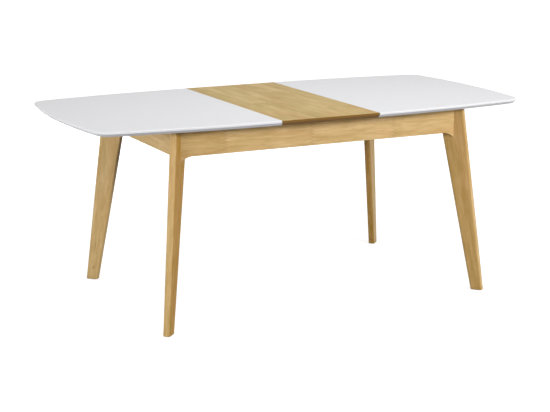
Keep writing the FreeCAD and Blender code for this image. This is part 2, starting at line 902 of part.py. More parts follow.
def main():
    os.makedirs("parts", exist_ok=True)
    for name, shape in build().items():
        shape.exportStep(os.path.join("parts", name + ".step"))
        solids = shape.Solids
        volume = sum(solid.Volume for solid in solids)
        print(name, len(solids), "solids", round(volume / 1000, 1), "cm3", "valid", shape.isValid())


main()
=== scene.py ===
"""Finishes, screws and bolts, stage, lamps and camera of the extending dining table.

Everything is in metres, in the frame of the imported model: +X to the right, +Y to the back,
+Z up, with the origin on the floor under the middle of the top.
"""

import math

import bmesh
import bpy
from bpy.props import FloatProperty, FloatVectorProperty, PointerProperty
from mathutils import Matrix, Vector


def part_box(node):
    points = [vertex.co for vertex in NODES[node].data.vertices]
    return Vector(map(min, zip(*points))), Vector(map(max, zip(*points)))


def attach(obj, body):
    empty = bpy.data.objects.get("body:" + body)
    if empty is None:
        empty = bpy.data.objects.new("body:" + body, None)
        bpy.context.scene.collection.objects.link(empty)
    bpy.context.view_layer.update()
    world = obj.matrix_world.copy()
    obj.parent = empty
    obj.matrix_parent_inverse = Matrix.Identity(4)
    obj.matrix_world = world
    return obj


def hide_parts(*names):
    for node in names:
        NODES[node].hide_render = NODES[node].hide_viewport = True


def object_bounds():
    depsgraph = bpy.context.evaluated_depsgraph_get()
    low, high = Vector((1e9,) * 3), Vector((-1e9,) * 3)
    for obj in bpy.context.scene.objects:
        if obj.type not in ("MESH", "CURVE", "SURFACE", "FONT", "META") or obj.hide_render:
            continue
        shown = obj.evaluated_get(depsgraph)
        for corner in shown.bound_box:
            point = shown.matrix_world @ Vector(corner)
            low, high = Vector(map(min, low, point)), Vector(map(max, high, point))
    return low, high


bl_info = {
    "name": "Extending dining table",
    "version": (1, 0, 0),
    "blender": (4, 5, 0),
    "location": "3D View > Sidebar > Table",
    "description": "Finishes, screws, bolts, stage and camera for the extending dining table",
    "category": "Object",
}

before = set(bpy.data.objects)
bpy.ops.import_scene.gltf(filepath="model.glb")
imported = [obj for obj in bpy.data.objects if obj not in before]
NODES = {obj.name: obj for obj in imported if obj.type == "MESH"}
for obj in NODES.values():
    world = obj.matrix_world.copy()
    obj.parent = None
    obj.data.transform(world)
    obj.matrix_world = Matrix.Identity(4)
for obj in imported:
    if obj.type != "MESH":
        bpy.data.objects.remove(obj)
cad_low, cad_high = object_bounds()

CORNERS = ("front_left", "front_right", "back_left", "back_right")
# Each soft lamp's place, and its width and height
LAMPS = {
    "front_lamp": ((0.6, -4.2, 2.0), (2.0, 0.9)),
    "right_lamp": ((2.3, -3.1, 1.6), (2.0, 0.8)),
    "left_lamp": ((-3.4, -1.0, 1.0), (2.0, 0.5)),
    "top_lamp": ((0.15, -0.4, 3.2), (2.0, 1.6)),
    "back_lamp": ((0.6, 4.2, 0.55), (2.4, 0.7)),
}
# How much of the darker heartwood tone each leg's broad faces and its edges have: partly
# heartwood, partly painted shade that darkens the faces turned away from the lamps or lying in
# the shade under the table
LEG_HEART_AND_SHADE_SHARES = {
    "front_left": (0.95, 0.12),
    "front_right": (0.55, 0.0),
    "back_left": (0.0, 0.1),
    "back_right": (0.0, 0.85),
}
ROWS = ("front", "back")
SIDES = ("left", "right")
# The body that each group of wood screws moves with
SCREW_BODIES = {
    "brace_screws": "frame",
    "rail_screws": "frame",
    "runner_screws_left": "left_top",
    "runner_screws_right": "right_top",
    "leaf_batten_screws": "leaf",
}
# A screw head's outline, as shares of its height and its radius, from its flat top to its seat
HEAD_OUTLINE = ((0.0, 0.64), (0.06, 0.78), (0.2, 0.9), (0.42, 0.98), (0.65, 1.0), (1.0, 1.0))
# The span and the slot width of a cross recess's floor, as shares of its mouth's
RECESS_FLOOR = (0.55, 0.7)
# A hanger bolt's threaded length and the chamfer of its plain end, in radii of the bolt
BOLT_THREAD = 3.4
BOLT_CHAMFER = 0.25
# How many sides a turned piece and one turn of a thread are drawn with
RING_SIDES = 24
THREAD_SIDES = 20
# How close two corner points are that count as one, and as equally deep
SAME_POINT = 1e-6
SAME_DEPTH = 1e-5
# Faces of turned metal that meet at more than this angle keep a sharp edge
SHARP_ANGLE = math.radians(35)

# Each board's staves: their length and width, and how far a row may be shifted, as a share of
# that length
LEAF_STAVES = (0.45, 0.066, 1.0)
BATTEN_STAVES = (0.9, 0.2, 1.0)
LEG_STAVES = (1.5, 0.5, 0.0)
LONG_APRON_STAVES = (0.35, 0.3, 0.0)
SHORT_APRON_STAVES = (0.41, 0.3, 0.0)
INNER_STAVES = (2.0, 0.5, 0.0)
# Where the long aprons' staves are counted from
LONG_APRON_START = Vector((-0.72, 0.0, 0.0))
# Soft blotches in the wood: their length and width, and what share of the grain they make
FRAME_BLOTCHES = (0.07, 0.012, 0.4)
LEAF_BLOTCHES = (0.16, 0.035, 0.65)
# Length and width of the bends in the grain, and how far they carry it sideways
SWAY_SIZE = (0.3, 0.07)
SWAY_REACH = 0.02
# Length and width of the slow drift in colour, and of the places where flecks gather
DRIFT_SIZE = (0.3, 0.05)
PATCH_SIZE = (0.12, 0.04)
# Length of the growth bands and of the fine fibres
BAND_LENGTH = 0.5
FIBRE_LENGTH = 0.08
# How far along, across and through the wood one stave's figure may lie from the next one's
STAVE_JUMP = (5.0, 0.7, 0.9)
# How square to its direction a face looks where it starts to count as broad, or as a cut end,
# and where it fully does
BROAD_RANGE = (0.75, 0.95)
CUT_END_RANGE = (0.4, 0.7)
# Where in its noise each figure starts and is full, and how strongly it shows at each
DRIFT_RANGE = (0.45, 0.75, 0.0, 0.35)
PORE_RANGE = (0.64, 0.78, 0.0, 0.25)
FLECK_RANGE = (0.68, 0.74, 0.0, 0.6)
PATCH_RANGE = (0.66, 0.72, 0.0, 1.0)
# The range that the mixed grain noise seldom leaves
GRAIN_RANGE = (0.3, 0.7)
# Darker wood is more saturated: two levels of the grain, and the saturation at each
SATURATION_RANGE = (0.7, 1.3, 1.13, 0.87)
# What share of the fine streaks are fibres, the rest being growth bands
FIBRE_SHARE = 0.4
# How much lighter or darker than the mean one stave may be
STAVE_CONTRAST = 0.08
# How dark the seams of the finger joints are drawn
SEAM_STRENGTH = 0.45
# How far the sheen of each finish wanders to either side of its mean
LACQUER_UNEVENNESS = 0.03
WOOD_UNEVENNESS = 0.08
ZINC_UNEVENNESS = (-0.08, 0.1)
# Width of the patches in the zinc, and of the grain that the mould leaves in plastic
ZINC_PATCH = 0.003
MOULD_GRAIN = 0.0008

# Half the side of the square floor, and where its glow starts to rise and is full
FLOOR_HALF = 40.0
GLOW_START = 1.3
GLOW_FULL = 3.5
# The height that the lamps point at, as a share of the table's
AIM_HEIGHT = 0.6


def tone(hex_code):
    """An sRGB hex colour as the linear values that shaders work with."""
    channels = []
    for start in (0, 2, 4):
        value = int(hex_code[start:start + 2], 16) / 255
        if value <= 0.04045:
            channels.append(value / 12.92)
        else:
            channels.append(((value + 0.055) / 1.055) ** 2.4)
    return channels


def opaque(colour):
    """The colour with full alpha, as colour sockets take it."""
    return (*colour, 1.0)


def add(tree, kind, inputs=None, **settings):
    """Adds a node, sets its properties, and sets or links its inputs."""
    node = tree.nodes.new(kind)
    for name, value in settings.items():
        setattr(node, name, value)
    for key, value in (inputs or {}).items():
        if isinstance(value, bpy.types.NodeSocket):
            tree.links.new(value, node.inputs[key])
        else:
            node.inputs[key].default_value = value
    return node


def new_material(name):
    """An empty node material with its surface shader and that shader's output linked."""
    material = bpy.data.materials.new(name)
    material.use_nodes = True
    tree = material.node_tree
    tree.nodes.clear()
    shader = add(tree, "ShaderNodeBsdfPrincipled")
    add(tree, "ShaderNodeOutputMaterial", {"Surface": shader.outputs["BSDF"]})
    return material, tree, shader


def dress(node_name, material):
    """Gives a piece of the frame its finish."""
    piece = NODES[node_name]
    piece.data.materials.clear()
    piece.data.materials.append(material)


# Sizes and colours that a user may change
class TABLE_PG_lacquer(bpy.types.PropertyGroup):
    """The sprayed finish of the two halves of the top."""
    colour: FloatVectorProperty(
        name="Lacquer", description="Colour of the white lacquer",
        subtype="COLOR", size=3, min=0, max=1, default=tone("dfdfe1"),
    )
    # Painted shade: the faces that look down, the underside and its bevel, take this darker grey
    # in place of the shade that falls on them
    underside_shade_colour: FloatVectorProperty(
        name="Underside", description="Colour of the single thin coat on what looks down",
        subtype="COLOR", size=3, min=0, max=1, default=tone("cacacd"),
    )
    roughness: FloatProperty(
        name="Sheen", description="Roughness of the satin lacquer",
        subtype="FACTOR", min=0, max=1, default=0.42,
    )
    peel_size: FloatProperty(
        name="Orange peel", description="Width of the soft dimples that spraying leaves",
        subtype="DISTANCE", min=0.0005, max=0.02, default=0.004,
    )


class TABLE_PG_wood(bpy.types.PropertyGroup):
    """The hardwood of the frame and the leaf."""
    frame_tone: FloatVectorProperty(
        name="Frame wood", description="Mean colour of the legs and aprons under clear lacquer",
        subtype="COLOR", size=3, min=0, max=1, default=tone("ceae78"),
    )
    leaf_tone: FloatVectorProperty(
        name="Leaf wood", description="Mean colour of the leaf under clear lacquer",
        subtype="COLOR", size=3, min=0, max=1, default=tone("bda368"),
    )
    # Partly heartwood, partly painted shade: faces turned away from the lamps take this darker
    # tone
    heart_and_shade_tone: FloatVectorProperty(
        name="Heartwood", description="Mean colour of the darker boards and faces",
        subtype="COLOR", size=3, min=0, max=1, default=tone("ae8642"),
    )
    bare_tone: FloatVectorProperty(
        name="Bare wood", description="Mean colour of the unfinished wood inside the frame",
        subtype="COLOR", size=3, min=0, max=1, default=tone("cfb087"),
    )
    warm_tone: FloatVectorProperty(
        name="Warm streaks", description="Colour that slow streaks in the wood drift towards",
        subtype="COLOR", size=3, min=0, max=1, default=tone("c4925c"),
    )
    pore_tone: FloatVectorProperty(
        name="Pores", description="Colour of the short dark pores and flecks",
        subtype="COLOR", size=3, min=0, max=1, default=tone("7d5a33"),
    )
    # Partly end grain, partly painted shade: the cut ends are drawn darker than their grain alone
    # makes them, for the shade on the bevelled lower edge of the leaf's ends
    end_grain_and_shade_tone: FloatVectorProperty(
        name="End grain",
        description="Colour of the cut ends, where lacquer sinks in and darkens",
        subtype="COLOR", size=3, min=0, max=1, default=tone("7d5c2c"),
    )
    frame_contrast: FloatProperty(
        name="Frame grain",
        description="How much lighter and darker than its mean the frame's wood is",
        subtype="FACTOR", min=0, max=1, default=0.24,
    )
    leaf_contrast: FloatProperty(
        name="Leaf grain",
        description="How much lighter and darker than its mean the leaf's wood is",
        subtype="FACTOR", min=0, max=1, default=0.2,
    )
    band_width: FloatProperty(
        name="Growth bands", description="Width of the soft bands that the growth rings leave",
        subtype="DISTANCE", min=0.001, max=0.1, default=0.016,
    )
    fibre_width: FloatProperty(
        name="Fibre width", description="Width of the fine streaks along the grain",
        subtype="DISTANCE", min=0.0005, max=0.01, default=0.0025,
    )
    pore_length: FloatProperty(
        name="Pore length", description="Length of the fine pores along the grain",
        subtype="DISTANCE", min=0.002, max=0.1, default=0.012,
    )
    fleck_length: FloatProperty(
        name="Fleck length", description="Length of the few darker dashes along the grain",
        subtype="DISTANCE", min=0.005, max=0.1, default=0.028,
    )
    finger_length: FloatProperty(
        name="Finger length",
        description="Length of the fingers where two staves meet end to end",
        subtype="DISTANCE", min=0.001, max=0.05, default=0.018,
    )
    finger_pitch: FloatProperty(
        name="Finger pitch", description="Distance from one finger of such a joint to the next",
        subtype="DISTANCE", min=0.001, max=0.05, default=0.012,
    )
    seam_width: FloatProperty(
        name="Finger seams", description="How far along the grain the joint's dark seam is seen",
        subtype="DISTANCE", min=0.0001, max=0.01, default=0.0022,
    )
    roughness: FloatProperty(
        name="Sheen", description="Roughness of the clear matt lacquer",
        subtype="FACTOR", min=0, max=1, default=0.52,
    )
    bare_roughness: FloatProperty(
        name="Bare sheen", description="Roughness of the wood that has no lacquer",
        subtype="FACTOR", min=0, max=1, default=0.75,
    )


class TABLE_PG_metal(bpy.types.PropertyGroup):
    """The screws, bolts, washers, nuts and pins."""
    recess_span: FloatProperty(
        name="Recess span", description="Width of the cross recess in a screw's head, tip to tip",
        subtype="DISTANCE", min=0.001, max=0.01, default=0.0048,
    )
    recess_width: FloatProperty(
        name="Recess slot", description="Width of each slot of the cross recess",
        subtype="DISTANCE", min=0.0002, max=0.005, default=0.0011,
    )
    recess_depth: FloatProperty(
        name="Recess depth", description="Depth of the cross recess",
        subtype="DISTANCE", min=0.0002, max=0.005, default=0.0019,
    )
    thread_pitch: FloatProperty(
        name="Thread pitch", description="Distance between the threads of the M8 bolts",
        subtype="DISTANCE", min=0.0005, max=0.005, default=0.00125,
    )
    thread_depth: FloatProperty(
        name="Thread depth", description="Height of the bolts' threads over their roots",
        subtype="DISTANCE", min=0.0001, max=0.002, default=0.00068,
    )
    colour: FloatVectorProperty(
        name="Zinc", description="Colour of the bright zinc plating",
        subtype="COLOR", size=3, min=0, max=1, default=tone("c9cbc8"),
    )
    roughness: FloatProperty(
        name="Roughness", description="Roughness of the zinc plating",
        subtype="FACTOR", min=0, max=1, default=0.34,
    )


class TABLE_PG_plastic(bpy.types.PropertyGroup):
    """The glides under the feet."""
    colour: FloatVectorProperty(
        name="Glides", description="Colour of the moulded plastic",
        subtype="COLOR", size=3, min=0, max=1, default=tone("4a3526"),
    )
    roughness: FloatProperty(
        name="Roughness", description="Roughness of the moulded plastic",
        subtype="FACTOR", min=0, max=1, default=0.55,
    )


class TABLE_PG_stage(bpy.types.PropertyGroup):
    """The floor, lamps and camera."""
    camera_place: FloatVectorProperty(
        name="Camera", description="Where the camera stands",
        subtype="TRANSLATION", size=3, default=(-2.42871, -4.94093, 1.59736),
    )
    camera_heading: FloatProperty(
        name="Heading", description="How far the camera is turned from +Y towards +X",
        subtype="ANGLE", default=math.radians(26.07),
    )
    camera_tilt: FloatProperty(
        name="Tilt", description="How far the camera looks down",
        subtype="ANGLE", default=math.radians(13.02),
    )
    camera_roll: FloatProperty(
        name="Roll", description="How far the camera is turned about its own axis",
        subtype="ANGLE", default=math.radians(0.09),
    )
    focal_length: FloatProperty(
        name="Focal length", description="Lens for a sensor 36 mm wide",
        subtype="DISTANCE_CAMERA", min=10, max=300, default=93.13,
    )
    floor_colour: FloatVectorProperty(
        name="Floor", description="Colour of the plain floor",
        subtype="COLOR", size=3, min=0, max=1, default=tone("c3c3c3"),
    )
    floor_bounce: FloatProperty(
        name="Floor bounce",
        description="Share of the floor's colour that lights the table from below",
        subtype="FACTOR", min=0, max=1, default=0.25,
    )
    front_lamp: FloatProperty(
        name="Front lamp", description="Power of the lamp in front",
        subtype="POWER", min=0, default=62.0,
    )
    right_lamp: FloatProperty(
        name="Right lamp", description="Power of the lamp in front on the right",
        subtype="POWER", min=0, default=72.0,
    )
    left_lamp: FloatProperty(
        name="Left lamp", description="Power of the low lamp on the left",
        subtype="POWER", min=0, default=62.0,
    )
    top_lamp: FloatProperty(
        name="Top lamp", description="Power of the lamp over the table",
        subtype="POWER", min=0, default=35.5,
    )
    back_lamp: FloatProperty(
        name="Back lamp", description="Power of the low lamp behind, under the level of the top",
        subtype="POWER", min=0, default=60.0,
    )
    sky_strength: FloatProperty(
        name="Surrounding light", description="Strength of the even light from all round",
        subtype="FACTOR", min=0, max=2, default=0.25,
    )
    floor_glow: FloatProperty(
        name="Floor glow",
        description="How much of the floor's white the eye sees in full shadow",
        subtype="FACTOR", min=0, max=1, default=0.74,
    )


# Finishes
def mixed(tree, share, first, second):
    """A number between two others, by a share of the second."""
    # Inputs 2 and 3 and output 0 are the node's sockets for numbers
    inputs = {0: share, 2: first, 3: second}
    return add(tree, "ShaderNodeMix", inputs, data_type="FLOAT").outputs[0]


def blended(tree, share, first, second):
    """A mix of two colours, by a share of the second."""
    # Inputs 6 and 7 and output 2 are the node's sockets for colours
    inputs = {0: share, 6: first, 7: second}
    return add(tree, "ShaderNodeMix", inputs, data_type="RGBA").outputs[2]


def ranged(tree, value, low, high, to_low, to_high):
    """A value carried from one range to another and held inside it."""
    return add(tree, "ShaderNodeMapRange", {
        "Value": value, "From Min": low, "From Max": high, "To Min": to_low, "To Max": to_high,
    }).outputs["Result"]


def lacquer_material(settings):
    """Satin lacquer, sprayed on fine fibreboard: an even white with a soft, broad sheen.

    Spraying leaves very low dimples, which only show as a slight unevenness in the sheen. The
    underside and its bevel are drawn a darker grey, as painted shade standing in for the shade
    that falls on faces that look down."""
    material, tree, shader = new_material("satin_white_lacquer")
    place = add(tree, "ShaderNodeTexCoord")
    peel = add(tree, "ShaderNodeTexNoise", {
        "Vector": place.outputs["Object"], "Scale": 1 / settings.peel_size, "Detail": 2.0,
    })
    bump = add(tree, "ShaderNodeBump", {
        "Height": peel.outputs["Fac"], "Strength": 0.05, "Distance": 0.0002,
    })
    sheen = ranged(
        tree, peel.outputs["Fac"], 0.0, 1.0,
        settings.roughness - LACQUER_UNEVENNESS, settings.roughness + LACQUER_UNEVENNESS
    )
    upward = add(tree, "ShaderNodeSeparateXYZ", {0: place.outputs["Normal"]}).outputs["Z"]
    # The bevel looks down at 45 degrees, where this is -0.7, and the underside at -1. Both take
    # the darker grey, as painted shade for faces that look down
    underside = ranged(tree, upward, -0.6, -0.3, 1.0, 0.0)
    coat = blended(tree, underside, opaque(settings.colour), opaque(settings.underside_shade_colour))
    tree.links.new(coat, shader.inputs["Base Color"])
    shader.inputs["IOR"].default_value = 1.5
    tree.links.new(sheen, shader.inputs["Roughness"])
    tree.links.new(bump.outputs["Normal"], shader.inputs["Normal"])
    return material


def grain_place(tree, along, face, start):
    """Coordinates in metres on a board, with X along the grain, Y across it and Z through it.

    Gives the node that they come from, too, for the directions that the faces look in."""
    turn = Matrix((along, face.cross(along), face)).transposed()
    place = add(tree, "ShaderNodeTexCoord")
    board = add(tree, "ShaderNodeMapping", {
        "Vector": place.outputs["Object"], "Location": start, "Rotation": turn.to_euler("XYZ"),
    }, vector_type="TEXTURE")
    return place, board


def stave_numbers(tree, board, staves, settings):
    """Steady random values for each stave that a board is glued up from, and where it ends.

    Staves meet end to end in finger joints, whose seams are drawn wider than life. Rows of
    staves start at points of their own."""
    length, width, row_shift = staves
    parts = add(tree, "ShaderNodeSeparateXYZ", {0: board.outputs["Vector"]})
    finger = add(tree, "ShaderNodeMath", {
        0: parts.outputs["Y"], 1: settings.finger_pitch / 2,
    }, operation="PINGPONG")
    jagged = add(tree, "ShaderNodeMath", {
        0: finger.outputs[0], 1: 2 * settings.finger_length / settings.finger_pitch,
        2: parts.outputs["X"],
    }, operation="MULTIPLY_ADD")
    row_place = add(tree, "ShaderNodeMath", {0: parts.outputs["Y"], 1: width}, operation="DIVIDE")
    row = add(tree, "ShaderNodeMath", {0: row_place.outputs[0]}, operation="FLOOR")
    shift = add(tree, "ShaderNodeTexWhiteNoise", {"W": row.outputs[0]}, noise_dimensions="1D")
    shifted = add(tree, "ShaderNodeMath", {
        0: shift.outputs["Value"], 1: length * row_shift, 2: jagged.outputs[0],
    }, operation="MULTIPLY_ADD")
    place = add(tree, "ShaderNodeMath", {0: shifted.outputs[0], 1: length}, operation="DIVIDE")
    column = add(tree, "ShaderNodeMath", {0: place.outputs[0]}, operation="FLOOR")
    cell = add(tree, "ShaderNodeCombineXYZ", {"X": column.outputs[0], "Y": row.outputs[0]})
    random = add(tree, "ShaderNodeTexWhiteNoise", {
        "Vector": cell.outputs[0],
    }, noise_dimensions="3D")
    to_end = add(tree, "ShaderNodeMath", {0: place.outputs[0], 1: 0.5}, operation="PINGPONG")
    half_seam = settings.seam_width / length
    seam = ranged(tree, to_end.outputs[0], half_seam / 2, half_seam, 1.0, 0.0)
    return random, seam


def drawn_noise(tree, source, length, width, detail):
    """Noise drawn out along the grain, its features as long and as wide as given, in metres."""
    drawn = add(tree, "ShaderNodeVectorMath", {
        0: source, 1: (1 / length, 1 / width, 1 / width),
    }, operation="MULTIPLY")
    return add(tree, "ShaderNodeTexNoise", {
        "Vector": drawn.outputs["Vector"], "Scale": 1.0, "Detail": detail, "Roughness": 0.55,
    }).outputs["Fac"]


def facing_share(tree, place, direction, start, full):
    """How far a face is turned square to a direction, whichever way it looks."""
    towards = add(tree, "ShaderNodeVectorMath", {
        0: place.outputs["Normal"], 1: direction,
    }, operation="DOT_PRODUCT")
    either_way = add(tree, "ShaderNodeMath", {0: towards.outputs["Value"]}, operation="ABSOLUTE")
    return ranged(tree, either_way.outputs[0], start, full, 0.0, 1.0)


def wood_material(
    name, settings, mean, contrast, along, face, start, staves, heart_and_shade=(0.0, 0.0),
    lacquered=True, blotches=FRAME_BLOTCHES,
):
    """Planed light hardwood, glued up from staves, under clear matt lacquer where it shows.

    Soft bands and fine fibres run along the grain, with short pores and a few dark dashes over
    them, all a little coarser than life, so that they still show from across a room. The shares
    of darker heartwood tone say how much of it the broad faces and the other faces have; that
    darker tone is partly heartwood and partly painted shade, standing in for the shade on faces
    turned away from the lamps."""
    material, tree, shader = new_material(name)
    place, board = grain_place(tree, along, face, start)
    random, seam = stave_numbers(tree, board, staves, settings)
    jump = add(tree, "ShaderNodeVectorMath", {
        0: random.outputs["Color"], 1: STAVE_JUMP, 2: board.outputs["Vector"],
    }, operation="MULTIPLY_ADD")
    sway = drawn_noise(tree, jump.outputs["Vector"], *SWAY_SIZE, 1.0)
    swayed = add(tree, "ShaderNodeCombineXYZ", {"Y": sway, "Z": sway})
    own = add(tree, "ShaderNodeVectorMath", {
        0: swayed.outputs["Vector"], 1: (0.0, SWAY_REACH, SWAY_REACH), 2: jump.outputs["Vector"],
    }, operation="MULTIPLY_ADD").outputs["Vector"]
    bands = drawn_noise(tree, own, BAND_LENGTH, settings.band_width, 3.0)
    fibres = drawn_noise(tree, own, FIBRE_LENGTH, settings.fibre_width, 2.0)
    drift = drawn_noise(tree, own, *DRIFT_SIZE, 1.0)
    pores = drawn_noise(tree, own, settings.pore_length, settings.fibre_width / 2, 1.0)
    flecks = drawn_noise(tree, own, settings.fleck_length, settings.fibre_width * 1.2, 0.0)
    patches = drawn_noise(tree, own, *PATCH_SIZE, 1.0)
    blotch_length, blotch_width, blotch_share = blotches
    mottle = drawn_noise(tree, own, blotch_length, blotch_width, 2.0)

    # Painted shade, partly heartwood: broad faces and other faces take the darker tone by the
    # shares given for each leg, standing in for the shade on faces turned away from the lamps
    broad = facing_share(tree, place, face, *BROAD_RANGE)
    broad_heart_and_shade, other_heart_and_shade = heart_and_shade
    heart_and_shade_share = ranged(tree, broad, 0.0, 1.0, other_heart_and_shade, broad_heart_and_shade)
    base = blended(tree, heart_and_shade_share, opaque(mean), opaque(settings.heart_and_shade_tone))
    warmth = ranged(tree, drift, *DRIFT_RANGE)
    warmed = blended(tree, warmth, base, opaque(settings.warm_tone))
    streaks = mixed(tree, FIBRE_SHARE, bands, fibres)
    grain = mixed(tree, blotch_share, streaks, mottle)
    grain_value = ranged(tree, grain, *GRAIN_RANGE, 1 - contrast, 1 + contrast)
    stave_value = ranged(
        tree, random.outputs["Value"], 0.0, 1.0, 1 - STAVE_CONTRAST, 1 + STAVE_CONTRAST
    )
    value = add(tree, "ShaderNodeMath", {0: grain_value, 1: stave_value}, operation="MULTIPLY")
    body = add(tree, "ShaderNodeHueSaturation", {
        "Color": warmed, "Value": value.outputs[0],
        "Saturation": ranged(tree, value.outputs[0], *SATURATION_RANGE),
    })
    dark = opaque(settings.pore_tone)
    pored = blended(tree, ranged(tree, pores, *PORE_RANGE), body.outputs["Color"], dark)
    sparse = add(tree, "ShaderNodeMath", {
        0: ranged(tree, flecks, *FLECK_RANGE), 1: ranged(tree, patches, *PATCH_RANGE),
    }, operation="MULTIPLY")
    flecked = blended(tree, sparse.outputs[0], pored, dark)
    faint = add(tree, "ShaderNodeMath", {0: seam, 1: SEAM_STRENGTH}, operation="MULTIPLY")
    seamed = blended(tree, faint.outputs[0], flecked, dark)
    cut_end = facing_share(tree, place, along, *CUT_END_RANGE)
    # The cut ends' colour is partly end grain and partly painted shade
    ended = blended(tree, cut_end, seamed, opaque(settings.end_grain_and_shade_tone))
    tree.links.new(ended, shader.inputs["Base Color"])
    roughness = settings.roughness if lacquered else settings.bare_roughness
    sheen = ranged(
        tree, fibres, 0.0, 1.0, roughness - WOOD_UNEVENNESS, roughness + WOOD_UNEVENNESS
    )
    tree.links.new(sheen, shader.inputs["Roughness"])
    bump = add(tree, "ShaderNodeBump", {"Height": fibres, "Strength": 0.2, "Distance": 0.0002})
    tree.links.new(bump.outputs["Normal"], shader.inputs["Normal"])
    # Open pores and a matt coat give little gloss
    shader.inputs["Specular IOR Level"].default_value = 0.15
    return material


def frame_wood(name, settings, along, face, start, staves, heart_and_shade=(0.0, 0.0)):
    """Lacquered hardwood for one leg or one apron."""
    return wood_material(
        "lacquered_hardwood_" + name, settings, settings.frame_tone, settings.frame_contrast,
        along, face, start, staves, heart_and_shade
    )


def bare_wood(name, settings, along, face, start=cad_low, staves=INNER_STAVES):
    """Planed or turned hardwood with no finish, for the pieces inside the frame."""
    return wood_material(
        name, settings, settings.bare_tone, settings.frame_contrast, along, face, start, staves,
        lacquered=False
    )


def zinc_material(settings):
    """Bright zinc plating on turned steel: pale grey, a little uneven where it was dipped."""
    name = "zinc_plated_steel"
    if name in bpy.data.materials:
        return bpy.data.materials[name]
    material, tree, shader = new_material(name)
    place = add(tree, "ShaderNodeTexCoord")
    patches = add(tree, "ShaderNodeTexNoise", {
        "Vector": place.outputs["Object"], "Scale": 1 / ZINC_PATCH, "Detail": 3.0,
    })
    smoother, rougher = ZINC_UNEVENNESS
    sheen = ranged(
        tree, patches.outputs["Fac"], 0.0, 1.0,
        settings.roughness + smoother, settings.roughness + rougher
    )
    shader.inputs["Base Color"].default_value = opaque(settings.colour)
    shader.inputs["Metallic"].default_value = 1.0
    tree.links.new(sheen, shader.inputs["Roughness"])
    return material


def plastic_material(settings):
    """Moulded polyethylene, brown: a matt skin with the fine grain of the mould."""
    material, tree, shader = new_material("moulded_brown_plastic")
    place = add(tree, "ShaderNodeTexCoord")
    grain = add(tree, "ShaderNodeTexNoise", {
        "Vector": place.outputs["Object"], "Scale": 1 / MOULD_GRAIN, "Detail": 2.0,
    })
    bump = add(tree, "ShaderNodeBump", {
        "Height": grain.outputs["Fac"], "Strength": 0.2, "Distance": 0.0001,
    })
    shader.inputs["Base Color"].default_value = opaque(settings.colour)
    shader.inputs["Roughness"].default_value = settings.roughness
    tree.links.new(bump.outputs["Normal"], shader.inputs["Normal"])
    return material


# Pieces
X_AXIS = Vector((1, 0, 0))
Y_AXIS = Vector((0, 1, 0))
Z_AXIS = Vector((0, 0, 1))


def outwards(corner):
    """The diagonal that points out of the table at a corner."""
    row, side = corner.split("_")
    x = 1 if side == "right" else -1
    y = 1 if row == "back" else -1
    return Vector((x, y, 0)).normalized()


def middle_of(points):
    """The mean of some points."""
    return sum(points, Vector()) / len(points)


def lean(node_name):
    """The direction of a leg, from the middle of its foot to the middle of its top."""
    low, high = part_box(node_name)
    # The height within which a corner point counts as the end's own
    near = (high.z - low.z) * 0.02
    points = [vertex.co for vertex in NODES[node_name].data.vertices]
    foot = [point for point in points if point.z < low.z + near]
    top = [point for point in points if point.z > high.z - near]
    return (middle_of(top) - middle_of(foot)).normalized()


class TABLE_OT_dress_tops(bpy.types.Operator):
    """Gives the two halves of the top their white lacquer"""
    bl_idname = "table.dress_tops"
    bl_label = "Lacquer the top"

    def execute(self, context):
        lacquer = lacquer_material(context.scene.table_lacquer)
        for side in SIDES:
            dress("top_" + side, lacquer)
        return {"FINISHED"}


class TABLE_OT_dress_leaf(bpy.types.Operator):
    """Gives the loose leaf its wood, with the grain from front to back"""
    bl_idname = "table.dress_leaf"
    bl_label = "Finish the leaf"

    def execute(self, context):
        settings = context.scene.table_wood
        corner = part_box("leaf_panel")[0]
        dress("leaf_panel", wood_material(
            "lacquered_hardwood_leaf", settings, settings.leaf_tone, settings.leaf_contrast,
            Y_AXIS, Z_AXIS, corner, LEAF_STAVES, blotches=LEAF_BLOTCHES
        ))
        battens = bare_wood(
            "planed_hardwood_leaf_battens", settings, X_AXIS, Z_AXIS, corner, BATTEN_STAVES
        )
        for row in ROWS:
            dress("leaf_batten_" + row, battens)
        return {"FINISHED"}


class TABLE_OT_dress_legs(bpy.types.Operator):
    """Gives each leg its wood, with the grain along its lean"""
    bl_idname = "table.dress_legs"
    bl_label = "Finish the legs"

    def execute(self, context):
        settings = context.scene.table_wood
        # Each leg's shares of the darker tone are partly heartwood and partly painted shade
        for corner, heart_and_shade in LEG_HEART_AND_SHADE_SHARES.items():
            name = "leg_" + corner
            face = Z_AXIS.cross(outwards(corner))
            dress(name, frame_wood(
                name, settings, lean(name), face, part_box(name)[0], LEG_STAVES, heart_and_shade
            ))
        return {"FINISHED"}


class TABLE_OT_dress_aprons(bpy.types.Operator):
    """Gives the four aprons their wood, with the grain along each"""
    bl_idname = "table.dress_aprons"
    bl_label = "Finish the aprons"

    def execute(self, context):
        settings = context.scene.table_wood
        for row in ROWS:
            name = "apron_" + row
            dress(name, frame_wood(
                name, settings, X_AXIS, Y_AXIS, LONG_APRON_START, LONG_APRON_STAVES
            ))
        for side in SIDES:
            name = "apron_" + side
            dress(name, frame_wood(
                name, settings, Y_AXIS, X_AXIS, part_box(name)[0], SHORT_APRON_STAVES
            ))
        return {"FINISHED"}


